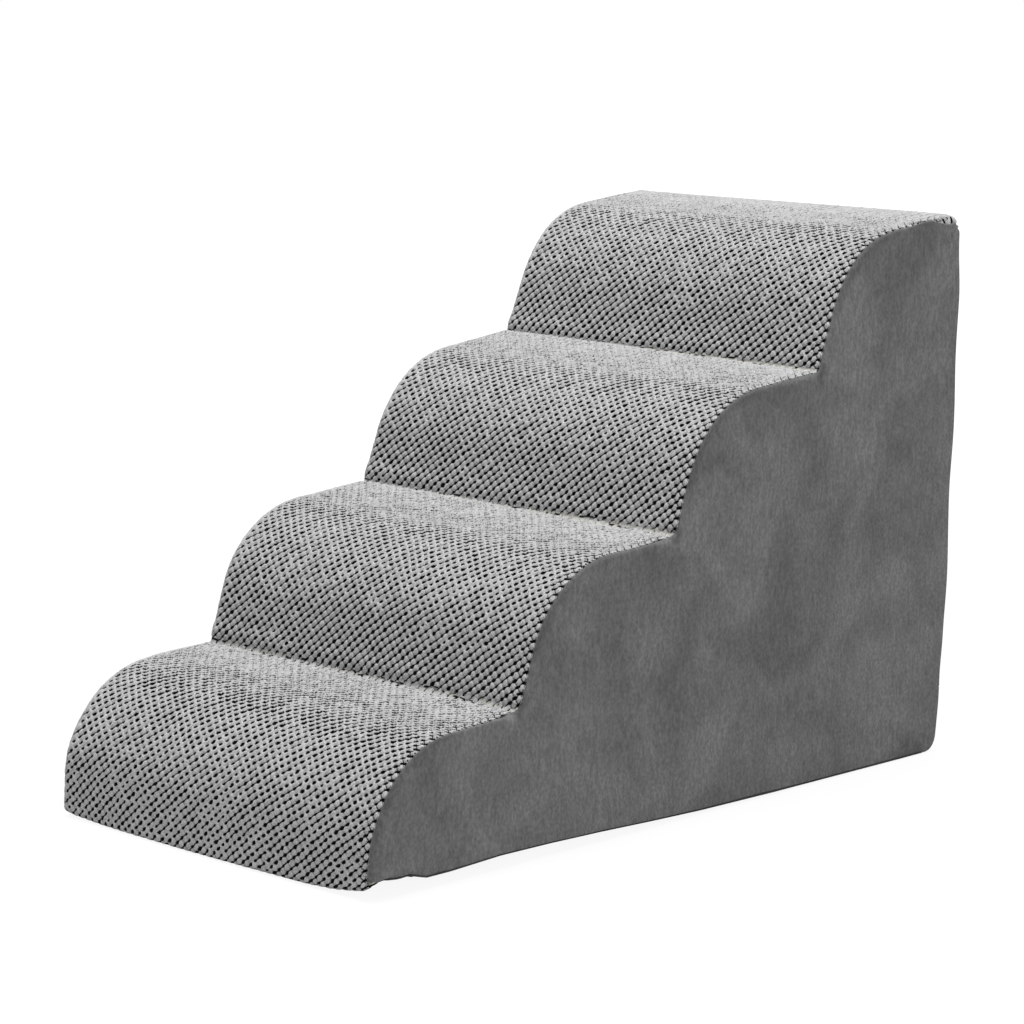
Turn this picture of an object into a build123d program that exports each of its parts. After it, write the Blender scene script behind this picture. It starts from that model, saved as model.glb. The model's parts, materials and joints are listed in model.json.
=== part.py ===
from build123d import *
import os
from math import cos, hypot, radians, sin, tan

# Foam pet stairs in a fabric cover. +X is across the stairs, the low step faces -Y, +Z is up,
# and the origin is on the floor under the middle. Lengths are in millimetres, angles in degrees.

# The steps
width = 400.0
step_count = 4
first_run = 173.0
step_run = 194.8
top_run = 200.4
first_rise = 133.4
step_rise = 124.5
top_rise = 127.2

# Shape of the side view
first_riser_lean = 3.0
riser_lean = 19.3
tread_slope = 3.6
top_slope = 3.9
back_lean = 2.0
first_nose_radius = 95.0
nose_radius = 107.0
top_nose_radius = 100.0
nose_length_share = 0.85
corner_radius = 14.0
toe_radius = 5.0
heel_radius = 16.0
top_rear_radius = 8.0

# Cover
knit_thickness = 3.5
plush_thickness = 2.5
base_thickness = 1.6
side_recess = 1.0
knit_rounding = 2.6
plush_rounding = 1.8
toe_wrap = 18.0
heel_wrap = 22.0
top_wrap = 9.0

# Grip dots under the base panel
grip_height = 1.0
grip_radius = 3.0
grip_pitch = 20.0
grip_margin = 14.0

# Room between the foam core and the cover
cover_ease = 0.3

# Hook and loop strips at the inner corners
strip_width = 25.0
strip_end_margin = 46.0
strip_setback = 16.0
hook_thickness = 1.2
loop_thickness = 1.2

# Zip across the back panel
zip_height = 62.0
zip_end_margin = 22.0
zip_tape_width = 13.0
zip_tape_thickness = 0.6
zip_tape_gap = 3.2
zip_tape_overlap = 10.0
tooth_pitch = 2.6
tooth_width = 1.1
tooth_height = 1.2
tooth_spine = 1.0
tooth_reach = 0.9
chain_half_width = 2.9

# Zip slider, with its nose towards the closed end
slider_length = 12.0
slider_flare = 1.2
slider_corner = 1.4
slider_clearance = 0.3
slot_clearance = 1.2
wing_thickness = 1.2
wing_lip = 0.1
flange_thickness = 0.9
flange_length = 7.0
post_length = 3.2
crown_length = 5.0
crown_width = 2.4
crown_wall = 0.35

# Pull tab
pull_length = 24.0
pull_flare = 2.0
pull_thickness = 1.2
pull_corner = 2.4
pull_arm_width = 1.2
pull_clearance = 0.45
pull_hole_radius = 1.5
pull_hole_setback = 3.8
crossbar_radius = 0.60
crossbar_clearance = 0.08

# Zip stops
end_stop_length = 3.0
end_stop_width = 2.2
end_stop_height = 1.4
bottom_stop_length = 4.0
bottom_stop_height = 1.6

# How far a cut runs past what it cuts
overrun = 5.0

os.makedirs("parts", exist_ok=True)

length = first_run + (step_count - 2) * step_run + top_run
height = first_rise + (step_count - 2) * step_rise + top_rise
front = -length / 2
back = length / 2
cover_floor = grip_height
lean = radians(back_lean)
heel = back - (height - cover_floor) * tan(lean)
side_face = width / 2 - side_recess
side_inner_face = side_face - plush_thickness
cover_wall = (knit_thickness, plush_thickness, base_thickness)


def label_and_export(part, name):
    part.label = name
    export_step(part, f"parts/{name}.step")


# Side view

def riser_foot(step):
    """The foot of a step's riser, which is also the rear end of the tread before it."""
    if step == 0:
        return (front, cover_floor + toe_radius)
    if step == step_count:
        return (back, height)
    return (front + first_run + (step - 1) * step_run, first_rise + (step - 1) * step_rise)


def drawn_in(point, direction, inset):
    """A side of the outline, moved towards the inside by inset."""
    return (point[0] + direction[1] * inset, point[1] - direction[0] * inset), direction


def crossing(first, second):
    """Where two sides of the outline meet."""
    (first_y, first_z), (first_dy, first_dz) = first
    (second_y, second_z), (second_dy, second_dz) = second
    turn = first_dy * second_dz - first_dz * second_dy
    reach = ((second_y - first_y) * second_dz - (second_z - first_z) * second_dy) / turn
    return (first_y + reach * first_dy, first_z + reach * first_dz)


def nose_arc(wanted, riser, tread, tread_end):
    """A nose's radius, which its riser and its tread have to leave room for."""
    nose = Vector(*crossing(riser, tread))
    rise = nose - Vector(*riser[0])
    run = Vector(*tread_end) - nose
    room = nose_length_share * min(rise.length, run.length)
    return min(wanted, room / tan(radians(rise.get_angle(run)) / 2))


def stair_outline(knit_inset, back_inset, base_inset):
    """Corners and corner radii of the side view, from the toe over the steps to the heel."""
    sides = [drawn_in((back, cover_floor), (-1, 0), base_inset)]
    radii = [toe_radius - knit_inset]
    for step in range(step_count):
        leans, slope, radius = riser_lean, tread_slope, nose_radius
        if step == 0:
            leans, radius = first_riser_lean, first_nose_radius
        if step == step_count - 1:
            slope, radius = top_slope, top_nose_radius
        rising = (sin(radians(leans)), cos(radians(leans)))
        running = (cos(radians(slope)), sin(radians(slope)))
        foot, tread_end = riser_foot(step), riser_foot(step + 1)
        arc = nose_arc(radius, (foot, rising), (tread_end, running), tread_end)
        sides.append(drawn_in(foot, rising, knit_inset))
        sides.append(drawn_in(tread_end, running, knit_inset))
        radii += [arc - knit_inset, corner_radius + knit_inset]
    radii[-1] = top_rear_radius - knit_inset
    sides.append(drawn_in((back, height), (-sin(lean), -cos(lean)), back_inset))
    radii.append(heel_radius - back_inset)
    corners = [crossing(side, after) for side, after in zip(sides, sides[1:] + sides[:1])]
    return corners, radii


def draw_outline(knit_inset, back_inset, base_inset):
    """The side view as a face in the sketch that is being drawn."""
    corners, radii = stair_outline(knit_inset, back_inset, base_inset)
    with BuildLine() as outline:
        FilletPolyline(*corners, radius=radii, close=True)
    make_face(outline.edges())


def draw_block(y_low, y_high, z_low, z_high, mode=Mode.ADD):
    """A rectangle of the side view."""
    with Locations(((y_low + y_high) / 2, (z_low + z_high) / 2)):
        Rectangle(y_high - y_low, z_high - z_low, mode=mode)


base_front = front + toe_wrap
base_rear = heel - heel_wrap
top_seam = height - top_wrap
wall_depth = max(cover_wall) + overrun
behind = back + overrun
above = height + overrun
below = -overrun


# Tread panel: one strip of knit from under the toe over every step to the top rear edge

with BuildPart() as tread_panel:
    with BuildSketch(Plane.YZ.offset(-width / 2)):
        draw_outline(0, 0, 0)
    extrude(amount=width)
    end_faces = tread_panel.faces().filter_by(Axis.X)
    fillet(end_faces.edges(), radius=min(knit_rounding, knit_thickness))
    with BuildSketch(Plane.YZ.offset(-width / 2)):
        draw_outline(*cover_wall)
        draw_block(base_front, behind, below, wall_depth)
        draw_block(heel - wall_depth, behind, below, top_seam)
    extrude(amount=width, mode=Mode.SUBTRACT)
label_and_export(tread_panel.part, "tread_panel")


# Side panels: flat plush plates inside the strip, a little behind its puffed edges

for name, low_x in (("left_side_panel", -side_face), ("right_side_panel", side_inner_face)):
    with BuildPart() as side_panel:
        with BuildSketch(Plane.YZ.offset(low_x)):
            draw_outline(*cover_wall)
        extrude(amount=plush_thickness)
    label_and_export(side_panel.part, name)


# Depths of the zip's layers, from the outer face of the back panels inwards

tape_depth = plush_thickness
wing_depth = tape_depth - tooth_height - slider_clearance - wing_thickness
inner_wing_depth = tape_depth + zip_tape_thickness + slider_clearance
slider_floor = inner_wing_depth + wing_thickness
crossbar_height = pull_thickness / 2 + pull_clearance
crossbar_depth = wing_depth - crossbar_height
crown_height = crossbar_height + crossbar_radius + crossbar_clearance + crown_wall
slider_tail_width = 2 * (chain_half_width + slider_clearance + flange_thickness + wing_lip)
slider_nose_width = slider_tail_width + slider_flare
zip_slot = slider_nose_width + 2 * slot_clearance
zip_opening = 2 * (side_inner_face - zip_end_margin)
zip_line = back - (height - zip_height) * tan(lean)


def on_back(depth):
    """A plane inside the back by depth, facing inwards: X is across, Y is up from the zip."""
    return Plane(
        origin=(0, zip_line - depth * cos(lean), zip_height + depth * sin(lean)),
        x_dir=(1, 0, 0),
        z_dir=(0, -cos(lean), sin(lean)),
    )


def across_back(rise):
    """A plane square to the back, above the zip by rise: X is across, Y is out of the back."""
    return Plane(
        origin=(0, zip_line + rise * sin(lean), zip_height + rise * cos(lean)),
        x_dir=(1, 0, 0),
        z_dir=(0, sin(lean), cos(lean)),
    )


# Back panels, rounded at their upright edges and parted by the slot that the zip closes

for name, z_low, z_high in (
    ("back_panel_upper", zip_height, top_seam),
    ("back_panel_lower", below, zip_height),
):
    with BuildPart() as back_panel:
        with BuildSketch(Plane.YZ.offset(-side_face)):
            draw_outline(0, 0, 0)
        extrude(amount=2 * side_face)
        end_faces = back_panel.faces().filter_by(Axis.X)
        fillet(end_faces.edges(), radius=min(plush_rounding, plush_thickness))
        with BuildSketch(Plane.YZ.offset(-side_face)):
            draw_outline(*cover_wall)
            draw_block(front - overrun, base_rear, below, above)
            draw_block(base_rear, heel - wall_depth, wall_depth, above)
        extrude(amount=2 * side_face, mode=Mode.SUBTRACT)
        with BuildSketch(Plane.YZ.offset(-side_face)):
            draw_block(base_rear, behind, z_low, z_high)
        extrude(amount=2 * side_face, mode=Mode.INTERSECT)
        with BuildSketch(on_back(-overrun)):
            Rectangle(zip_opening, zip_slot)
        extrude(amount=wall_depth + overrun, mode=Mode.SUBTRACT)
    label_and_export(back_panel.part, name)


# Base panel with its grip dots

dots_across = 2 * int((side_face - grip_margin) / grip_pitch) + 1
dots_along = 2 * int((min(-base_front, base_rear) - grip_margin) / grip_pitch) + 1

with BuildPart() as base_panel:
    with BuildSketch(Plane.YZ.offset(-side_face)):
        draw_block(base_front, base_rear, cover_floor, cover_floor + base_thickness)
    extrude(amount=2 * side_face)
    with BuildSketch(Plane.XY.offset(cover_floor)):
        with GridLocations(grip_pitch, grip_pitch, dots_across, dots_along):
            Circle(grip_radius)
    extrude(amount=-grip_height)
label_and_export(base_panel.part, "base_panel")


# Foam core: one glued slab for each rise, with pockets for the strips and the zip

foam_insets = [thickness + cover_ease for thickness in cover_wall]
foam_half_width = side_inner_face - cover_ease
foam_corners, foam_radii = stair_outline(*foam_insets)
foam_notches = foam_corners[2 : 2 * step_count : 2]
foam_levels = [below] + [notch[1] for notch in foam_notches] + [above]
strip_length = 2 * (foam_half_width - strip_end_margin)
strip_middle = strip_setback + strip_width / 2
strip_floor = hook_thickness + loop_thickness - cover_ease
zip_tape_length = zip_opening + 2 * zip_tape_overlap
zip_pocket_length = zip_tape_length + 2 * slider_clearance
zip_pocket_height = zip_tape_gap + 2 * (zip_tape_width + slider_clearance)


def tread_plane(notch, depth):
    """A plane under the foam's tread by depth: X runs forward from the inner corner."""
    slope = radians(tread_slope)
    return Plane(
        origin=(0, notch[0] + depth * sin(slope), notch[1] - depth * cos(slope)),
        x_dir=(0, -cos(slope), -sin(slope)),
        z_dir=(0, -sin(slope), cos(slope)),
    )


for tier in range(step_count):
    with BuildPart() as foam_tier:
        with BuildSketch(Plane.YZ.offset(-foam_half_width)):
            draw_outline(*foam_insets)
            draw_block(
                front, back, foam_levels[tier], foam_levels[tier + 1], Mode.INTERSECT
            )
        extrude(amount=2 * foam_half_width)
        if tier < step_count - 1:
            with BuildSketch(tread_plane(foam_notches[tier], 0)):
                with Locations((strip_middle, 0)):
                    Rectangle(strip_width + 2 * cover_ease, strip_length + 2 * cover_ease)
            extrude(amount=-strip_floor, mode=Mode.SUBTRACT)
        if tier == 0:
            with BuildSketch(on_back(0)):
                Rectangle(zip_pocket_length, zip_pocket_height)
            extrude(amount=slider_floor + slider_clearance, mode=Mode.SUBTRACT)
    label_and_export(foam_tier.part, f"foam_tier_{tier + 1}")


# Hook strip on the floor of each pocket, and loop strip on it under the tread panel

for corner, notch in enumerate(foam_notches, start=1):
    for name, depth, thickness in (
        ("hook_strip", strip_floor, hook_thickness),
        ("loop_strip", strip_floor - hook_thickness, loop_thickness),
    ):
        with BuildPart() as strip:
            with BuildSketch(tread_plane(notch, depth)):
                with Locations((strip_middle, 0)):
                    Rectangle(strip_width, strip_length)
            extrude(amount=thickness)
        label_and_export(strip.part, f"{name}_{corner}")


# Places along the zip, closed at rest with the slider at the left end

stop_middle = end_stop_length / 2 + slider_clearance - zip_opening / 2
slider_nose = stop_middle + end_stop_length / 2 + slider_clearance
slider_middle = slider_nose + slider_length / 2
slider_tail = slider_nose + slider_length
bottom_stop_middle = zip_opening / 2 - slider_clearance - bottom_stop_length / 2
chain_end = bottom_stop_middle - bottom_stop_length / 2
slider_run = chain_end - slider_clearance - slider_tail
post_middle = slider_nose + slider_clearance + post_length / 2
chain_start = post_middle + post_length / 2 + slider_clearance
chain_middle = (chain_start + chain_end) / 2
tooth_count = int((chain_end - chain_start) / tooth_pitch) - 1
tooth_length = chain_half_width + tooth_reach


# Zip tapes on the inside of the back panels, and the chain on the tapes

for name, side in (("upper", 1), ("lower", -1)):
    with BuildPart() as zip_tape:
        with BuildSketch(on_back(tape_depth)):
            with Locations((0, side * (zip_tape_gap + zip_tape_width) / 2)):
                Rectangle(zip_tape_length, zip_tape_width)
        extrude(amount=zip_tape_thickness)
    label_and_export(zip_tape.part, f"zip_tape_{name}")

    with BuildPart() as zip_teeth:
        with BuildSketch(on_back(tape_depth)):
            with Locations((chain_middle, side * (chain_half_width - tooth_spine / 2))):
                Rectangle(chain_end - chain_start, tooth_spine)
            tooth_middle = side * (chain_half_width - tooth_length / 2)
            with Locations((chain_middle + side * tooth_pitch / 4, tooth_middle)):
                with GridLocations(tooth_pitch, tooth_length, tooth_count, 1):
                    Rectangle(tooth_width, tooth_length)
        extrude(amount=-tooth_height)
    label_and_export(zip_teeth.part, f"zip_teeth_{name}")


# Stops: two at the closed end, and one across both tapes at the open end

with BuildPart() as zip_end_stops:
    with BuildSketch(on_back(tape_depth)):
        with Locations((stop_middle, 0)):
            with GridLocations(end_stop_length, zip_tape_gap + end_stop_width, 1, 2):
                Rectangle(end_stop_length, end_stop_width)
    extrude(amount=-end_stop_height)
label_and_export(zip_end_stops.part, "zip_end_stops")

with BuildPart() as zip_bottom_stop:
    with BuildSketch(on_back(tape_depth)):
        with Locations((bottom_stop_middle, 0)):
            Rectangle(bottom_stop_length, 2 * chain_half_width)
    extrude(amount=-bottom_stop_height)
label_and_export(zip_bottom_stop.part, "zip_bottom_stop")


# Zip slider: two wings joined by a post that runs between the tapes, and a crown for the pull

def draw_tapered_tab(start, end, start_width, end_width, corner_radii):
    """A tab along X that narrows or widens, with a radius for each corner."""
    with BuildLine() as tab:
        FilletPolyline(
            (start, -start_width / 2),
            (start, start_width / 2),
            (end, end_width / 2),
            (end, -end_width / 2),
            radius=corner_radii,
            close=True,
        )
    make_face(tab.edges())


flange_middle = slider_tail - slider_corner - flange_length / 2
flange_spacing = 2 * (chain_half_width + slider_clearance) + flange_thickness

with BuildPart() as zip_slider:
    for depth in (wing_depth, inner_wing_depth):
        with BuildSketch(on_back(depth)):
            draw_tapered_tab(
                slider_nose,
                slider_tail,
                slider_nose_width,
                slider_tail_width,
                [slider_corner] * 4,
            )
        extrude(amount=wing_thickness)
    with BuildSketch(on_back(wing_depth)):
        with Locations((post_middle, 0)):
            Rectangle(post_length, zip_tape_gap - 2 * slider_clearance)
    extrude(amount=slider_floor - wing_depth)
    with BuildSketch(on_back(wing_depth)):
        with Locations((flange_middle, 0)):
            with GridLocations(flange_length, flange_spacing, 1, 2):
                Rectangle(flange_length, flange_thickness)
    extrude(amount=tape_depth - slider_clearance - wing_depth)
    with BuildSketch(across_back(-crown_width / 2)):
        with Locations((slider_middle, crown_height / 2 - wing_depth)):
            Rectangle(crown_length, crown_height)
        with Locations((slider_middle, -crossbar_depth)):
            Circle(crossbar_radius + crossbar_clearance, mode=Mode.SUBTRACT)
    extrude(amount=crown_width)
label_and_export(zip_slider.part, "zip_slider")


# Pull tab: a flat tab with a window over the crown and a crossbar through it

window_width = crown_width + 2 * pull_clearance
window_reach = hypot(crown_length / 2, crown_height - crossbar_height) + pull_clearance
pull_neck_width = window_width + 2 * pull_arm_width
pull_tip = slider_middle + pull_length

with BuildPart() as zip_pull:
    with BuildSketch(on_back(crossbar_depth - pull_thickness / 2)):
        draw_tapered_tab(
            slider_middle,
            pull_tip,
            pull_neck_width,
            pull_neck_width + pull_flare,
            [0, 0, pull_corner, pull_corner],
        )
        with Locations((slider_middle + window_reach / 2, 0)):
            Rectangle(window_reach, window_width, mode=Mode.SUBTRACT)
        with Locations((pull_tip - pull_hole_setback, 0)):
            Circle(pull_hole_radius, mode=Mode.SUBTRACT)
    extrude(amount=pull_thickness)
    with BuildSketch(across_back(-pull_neck_width / 2)):
        with Locations((slider_middle, -crossbar_depth)):
            Circle(crossbar_radius)
    extrude(amount=pull_neck_width)
label_and_export(zip_pull.part, "zip_pull")

print(f"overall {width:.1f} x {length:.1f} x {height:.1f}, slider run {slider_run:.3f}")
print(f"pull axis at x {slider_middle:.3f}, {on_back(crossbar_depth).origin}")
print(f"grip dots {dots_across} x {dots_along}, teeth {tooth_count} a side")
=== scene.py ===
import json
from math import atan2, cos, pi, radians, sin, tan

import bpy
import numpy as np
from mathutils import Matrix, Vector
from mathutils.geometry import delaunay_2d_cdt
from mathutils.kdtree import KDTree


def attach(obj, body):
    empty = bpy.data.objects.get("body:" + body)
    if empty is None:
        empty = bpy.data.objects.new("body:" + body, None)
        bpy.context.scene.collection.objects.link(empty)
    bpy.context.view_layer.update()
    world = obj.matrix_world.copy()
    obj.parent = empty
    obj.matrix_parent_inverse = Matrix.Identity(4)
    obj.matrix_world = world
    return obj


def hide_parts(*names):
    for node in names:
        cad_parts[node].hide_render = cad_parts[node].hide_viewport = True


# Foam pet stairs in a zip-off cover: knobbly knit over the steps, short plush on the sides and
# the back, and a dark base fabric with grip dots. Lengths are in metres. +X is across, the low
# step faces -Y, +Z is up.

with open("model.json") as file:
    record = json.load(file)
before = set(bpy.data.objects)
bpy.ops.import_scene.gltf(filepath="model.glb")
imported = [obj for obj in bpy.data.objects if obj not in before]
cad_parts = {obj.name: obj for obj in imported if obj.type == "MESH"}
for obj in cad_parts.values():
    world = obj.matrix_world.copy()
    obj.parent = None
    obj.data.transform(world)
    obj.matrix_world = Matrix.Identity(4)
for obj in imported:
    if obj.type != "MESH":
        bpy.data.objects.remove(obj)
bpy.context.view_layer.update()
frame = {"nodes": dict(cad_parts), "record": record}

# Steps, as in the CAD model
WIDTH = 0.400
STEP_COUNT = 4
FIRST_RUN = 0.1730
STEP_RUN = 0.1948
TOP_RUN = 0.2004
FIRST_RISE = 0.1334
STEP_RISE = 0.1245
TOP_RISE = 0.1272
FIRST_RISER_LEAN = radians(3.0)
RISER_LEAN = radians(19.3)
TREAD_SLOPE = radians(3.6)
TOP_SLOPE = radians(3.9)
BACK_LEAN = radians(2.0)
NOSE_RADII = (0.095, 0.107, 0.107, 0.100)
CORNER_RADIUS = 0.005
TOE_RADIUS = 0.005
HEEL_RADIUS = 0.016
TOP_REAR_RADIUS = 0.008
LENGTH = FIRST_RUN + (STEP_COUNT - 2) * STEP_RUN + TOP_RUN
HEIGHT = FIRST_RISE + (STEP_COUNT - 2) * STEP_RISE + TOP_RISE
FRONT = -LENGTH / 2
BACK = LENGTH / 2

# Cover, as in the CAD model
KNIT = 0.0035
PLUSH = 0.0025
BASE = 0.0016
FLOOR_GAP = 0.001
SIDE_INSET = 0.001
SIDE_FACE = WIDTH / 2 - SIDE_INSET
TOE_WRAP = 0.018
HEEL_WRAP = 0.022
TOP_WRAP = 0.009
HEEL = BACK - (HEIGHT - FLOOR_GAP) * tan(BACK_LEAN)
BASE_FRONT = FRONT + TOE_WRAP
BASE_REAR = HEEL - HEEL_WRAP

# Zip in the back, as in the CAD model
ZIP_HEIGHT = 0.062
ZIP_OPENING = 0.349
ZIP_SLOT = 0.012
ZIP_LINE = BACK - (HEIGHT - ZIP_HEIGHT) * tan(BACK_LEAN)


# Small helpers

def smooth(low, high, values):
    """0 below low, 1 above high, and a smooth ramp between them."""
    t = np.clip((values - low) / (high - low), 0, 1)
    return t * t * (3 - 2 * t)


def fade(low, high, values):
    """1 below low, 0 above high, and a smooth ramp between them."""
    return 1 - smooth(low, high, values)


def hump(middle, half_width, values):
    """1 at middle and 0 further off than half_width."""
    return fade(0, half_width, np.abs(values - middle))


def noise(x, y, size, seed):
    """Smooth noise from -1 to 1 over two coordinates, with blobs of about that size."""
    cells = 64
    table = np.random.default_rng(seed).uniform(-1, 1, (cells, cells))
    u, v = x / size, y / size
    i, j = np.floor(u).astype(int), np.floor(v).astype(int)
    fu, fv = u - i, v - j
    fu, fv = fu * fu * (3 - 2 * fu), fv * fv * (3 - 2 * fv)
    near = table[i % cells, j % cells] * (1 - fu) + table[(i + 1) % cells, j % cells] * fu
    far = table[i % cells, (j + 1) % cells] * (1 - fu) + table[(i + 1) % cells, (j + 1) % cells] * fu
    return near * (1 - fv) + far * fv


def wave(x, y, height, size, seed):
    """Noise of a height in metres, with its blob size and its seed."""
    return height * noise(x, y, size, seed)


def tree_of(points):
    """A tree that finds the nearest of some flat points."""
    tree = KDTree(len(points))
    for index, point in enumerate(points):
        tree.insert((*point, 0), index)
    tree.balance()
    return tree


def make_object(name, points, faces, material):
    mesh = bpy.data.meshes.new(name)
    mesh.from_pydata(points, [], faces)
    mesh.validate()
    mesh.shade_smooth()
    mesh.materials.append(material)
    piece = bpy.data.objects.new(name, mesh)
    bpy.context.scene.collection.objects.link(piece)
    return piece


def add_values(piece, name, values):
    """A float for each point, for the material to read."""
    attribute = piece.data.attributes.new(name, "FLOAT", "POINT")
    attribute.data.foreach_set("value", np.asarray(values, np.float32).ravel())


def grid_faces(rows, columns):
    """Quads over a grid of points stored row by row."""
    corner = np.arange((rows - 1) * columns).reshape(rows - 1, columns)[:, :-1].ravel()
    return np.stack([corner, corner + 1, corner + columns + 1, corner + columns], 1)


def band(first, second, count):
    """Quads between two rings of count points, which start at the points first and second."""
    turns = [(k, (k + 1) % count) for k in range(count)]
    return [(first + k, first + after, second + after, second + k) for k, after in turns]


def flipped(faces):
    return [tuple(reversed(face)) for face in faces]


# Side view

def riser_foot(step):
    """The foot of a step's riser, which is also the rear end of the tread before it."""
    if step == 0:
        return FRONT, FLOOR_GAP + TOE_RADIUS
    if step == STEP_COUNT:
        return BACK, HEIGHT
    return FRONT + FIRST_RUN + (step - 1) * STEP_RUN, FIRST_RISE + (step - 1) * STEP_RISE


def drawn_in(point, direction, inset):
    """A side as a point and a direction, moved to its right by inset."""
    return (point[0] + direction[1] * inset, point[1] - direction[0] * inset), direction


def crossing(first, second):
    """The point where two sides meet."""
    (first_y, first_z), (first_dy, first_dz) = first
    (second_y, second_z), (second_dy, second_dz) = second
    turn = first_dy * second_dz - first_dz * second_dy
    reach = ((second_y - first_y) * second_dz - (second_z - first_z) * second_dy) / turn
    return first_y + reach * first_dy, first_z + reach * first_dz


class Outline:
    """The side view, from the toe over the steps, down the back and along the floor. A place on it
    is named by its distance along it, in metres, from the start of the toe's arc."""

    arc_spacing = 0.0004
    fewest_legs = 6
    place_spacing = 0.001
    least_leg = 1e-9

    def __init__(self, knit_inset=0.0, back_inset=0.0, base_inset=0.0, toe_radius=TOE_RADIUS):
        sides = [drawn_in((BACK, FLOOR_GAP), (-1, 0), base_inset)]
        radii = [toe_radius - knit_inset]
        for step in range(STEP_COUNT):
            lean = FIRST_RISER_LEAN if step == 0 else RISER_LEAN
            slope = TOP_SLOPE if step == STEP_COUNT - 1 else TREAD_SLOPE
            sides.append(drawn_in(riser_foot(step), (sin(lean), cos(lean)), knit_inset))
            sides.append(drawn_in(riser_foot(step + 1), (cos(slope), sin(slope)), knit_inset))
            radii += [NOSE_RADII[step] - knit_inset, CORNER_RADIUS + knit_inset]
        radii[-1] = TOP_REAR_RADIUS - knit_inset
        sides.append(drawn_in((BACK, HEIGHT), (-sin(BACK_LEAN), -cos(BACK_LEAN)), back_inset))
        radii.append(HEEL_RADIUS - back_inset)
        self.corners = []
        points, normals = [], []
        for side, after, radius in zip(sides, sides[1:] + sides[:1], radii):
            corner = crossing(side, after)
            self.corners.append(corner)
            arc_points, arc_normals = self.arc(side[1], after[1], corner, radius)
            points += arc_points
            normals += arc_normals
        self.points = np.array(points + points[:1])
        self.normals = np.array(normals + normals[:1])
        legs = np.hypot(*np.diff(self.points, axis=0).T)
        self.distances = np.concatenate([[0], np.cumsum(legs)])
        self.total = self.distances[-1]

    def arc(self, arriving, leaving, corner, radius):
        """Points and outward normals of the arc that rounds one corner."""
        turn = atan2(
            arriving[0] * leaving[1] - arriving[1] * leaving[0],
            arriving[0] * leaving[0] + arriving[1] * leaving[1],
        )
        tangent = radius * tan(abs(turn) / 2)
        start = (corner[0] - arriving[0] * tangent, corner[1] - arriving[1] * tangent)
        bend = radius if turn > 0 else -radius
        centre = (start[0] - bend * arriving[1], start[1] + bend * arriving[0])
        count = max(self.fewest_legs, int(abs(turn) * radius / self.arc_spacing))
        points, normals = [], []
        for k in range(count + 1):
            bent = turn * k / count
            dy = arriving[0] * cos(bent) - arriving[1] * sin(bent)
            dz = arriving[0] * sin(bent) + arriving[1] * cos(bent)
            points.append((centre[0] + bend * dz, centre[1] - bend * dy))
            normals.append((-dz, dy))
        return points, normals

    def at(self, distance):
        """y, z and the outward normal at distances along the outline."""
        distance = np.mod(distance, self.total)
        y, z = (np.interp(distance, self.distances, self.points[:, k]) for k in (0, 1))
        ny, nz = (np.interp(distance, self.distances, self.normals[:, k]) for k in (0, 1))
        scale = np.hypot(ny, nz)
        return y, z, ny / scale, nz / scale

    def nearest(self, y, z):
        """The distance along the outline of its point nearest to (y, z)."""
        legs = np.diff(self.points, axis=0)
        lengths = np.diff(self.distances)
        offsets = np.array([y, z]) - self.points[:-1]
        share = np.clip(np.sum(offsets * legs, 1) / np.maximum(lengths, self.least_leg) ** 2, 0, 1)
        gaps = np.hypot(*(offsets - legs * share[:, None]).T)
        best = gaps.argmin()
        return self.distances[best] + share[best] * lengths[best]

    def places_of(self, y, z):
        """The distance along the outline nearest to each point, and the point's depth below it."""
        distances = np.arange(0, self.total, self.place_spacing)
        sample_y, sample_z, normal_y, normal_z = self.at(distances)
        tree = tree_of(list(zip(sample_y, sample_z)))
        found = np.array([tree.find((a, b, 0))[1] for a, b in zip(y, z)])
        depths = (sample_y[found] - y) * normal_y[found] + (sample_z[found] - z) * normal_z[found]
        return distances[found], depths


# The right plush runs a little way under the knit and the back, and round a wider toe
UNDER_KNIT = 0.0010
UNDER_BACK = 0.0012
PLUSH_TOE_RADIUS = 0.014

OUTER = Outline()
INNER = Outline(KNIT, PLUSH, BASE)
RIGHT_PLUSH = Outline(UNDER_KNIT, UNDER_BACK, BASE, PLUSH_TOE_RADIUS)

# How far the right seam lies in from the side's face, by the distance from the toe. The plush
# rounds over the edge of the foam up to this seam.
SEAM_PLACES = (
    -0.030, 0.000, 0.020, 0.050, 0.080, 0.160, 0.200, 0.240, 0.247, 0.254, 0.262, 0.272, 0.300, 0.400, 0.430,
    0.480, 0.505, 0.512, 0.520, 0.530, 0.560, 0.590, 0.650, 0.690, 0.720, 0.745, 0.775, 0.800, 0.900, 0.930,
    0.950, 0.970, 0.990, 1.030, 1.090
)
SEAM_INSETS = (
    0.6, 7.0, 6.5, 4.5, 1.8, 1.6, 1.2, 1.6, 4.0, 7.0, 4.5, 2.0, 2.0, 2.0, 3.5,
    1.6, 4.0, 7.0, 4.5, 1.8, 2.0, 1.2, 2.0, 3.0, 3.2, 5.0, 3.6, 3.5, 3.0, 2.5,
    1.8, 1.2, 1.0, 1.0, 0.6
)
SEAM_UNIT = 0.001
SEAM_BEFORE_TOE = 0.1

# The radius of the knit's right edge, which rounds the shoulder of the top step
SHOULDER_PLACES = (0.915, 0.941, 0.964, 0.978, 0.992, 1.010, 1.030, 1.042, 1.060)
SHOULDER_RADII = (0.0010, 0.0022, 0.0018, 0.0032, 0.0055, 0.0082, 0.0086, 0.0055, 0.0010)


def seam_inset(places):
    """The right seam's inset at distances along the outline, which may run round past the toe."""
    places = np.where(places > OUTER.total - SEAM_BEFORE_TOE, places - OUTER.total, places)
    return np.interp(places, SEAM_PLACES, SEAM_INSETS) * SEAM_UNIT


def shoulder(places):
    return np.interp(places, SHOULDER_PLACES, SHOULDER_RADII)


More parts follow.
